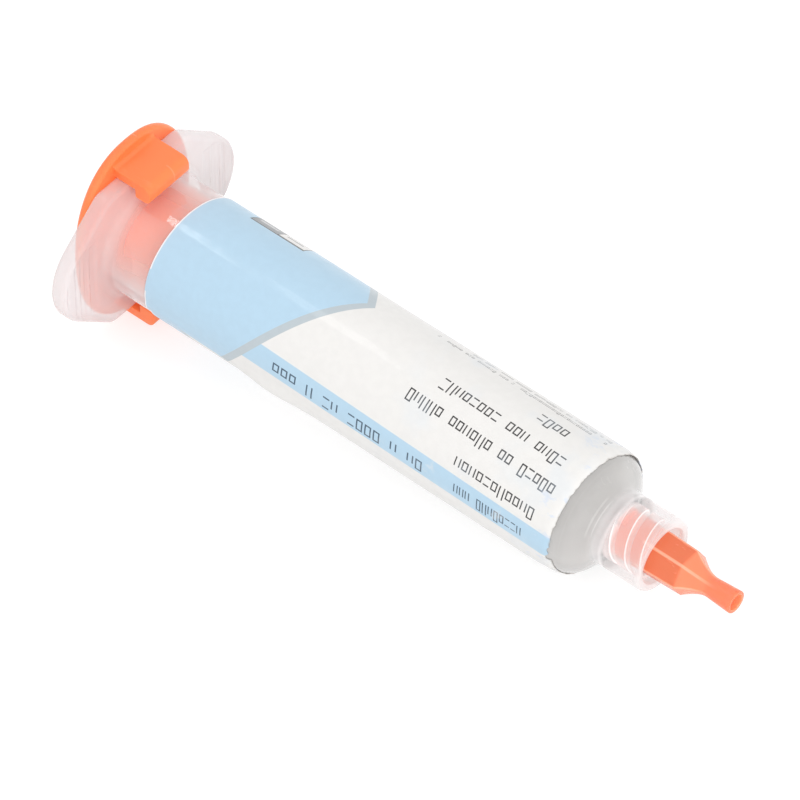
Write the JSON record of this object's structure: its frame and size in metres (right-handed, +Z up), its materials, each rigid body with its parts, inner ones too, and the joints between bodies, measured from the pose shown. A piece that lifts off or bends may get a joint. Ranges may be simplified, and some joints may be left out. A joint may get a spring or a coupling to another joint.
{
  "type": "solder paste syringe",
  "caption": "Translucent dispensing barrel with an eared flange, clip-on end cap, wiper piston and wrapped label; its Luer-lock nose is closed by a hexagonal tip cap.",
  "frame": {"origin": "centre of the bounding box's base; the barrel's axis lies 15.2 mm above it", "axes": "+X along the barrel's axis towards the nose, +/-Y through the flange's ears, +Z up through the end cap's clips"},
  "size_m": [0.1022, 0.0338, 0.0304],
  "materials": {
    "natural_plastic": "translucent, softly glossy",
    "label_film": "satin print, pale blue and white",
    "solder_paste": "dull grey paste",
    "piston_plastic": "matte white",
    "orange_plastic": "satin orange"
  },
  "bodies": {
    "barrel": {"barrel": "natural_plastic", "label": "label_film", "solder_paste": "solder_paste"},
    "piston": {"piston": "piston_plastic"},
    "end_cap": {"end_cap": "orange_plastic"},
    "tip_cap": {"tip_cap": "orange_plastic"}
  },
  "joints": [
    {"name": "piston_slide", "type": "slide", "parent": "barrel", "child": "piston", "axis": [1, 0, 0], "range_m": [0, 0.0565], "deforming": ["solder_paste"]},
    {"name": "end_cap_pull", "type": "slide", "parent": "barrel", "child": "end_cap", "axis": [-1, 0, 0], "range_m": [0, 0.02], "deforming": ["end_cap"]},
    {"name": "tip_cap_pull", "type": "slide", "parent": "barrel", "child": "tip_cap", "axis": [1, 0, 0], "range_m": [0, 0.025]}
  ]
}
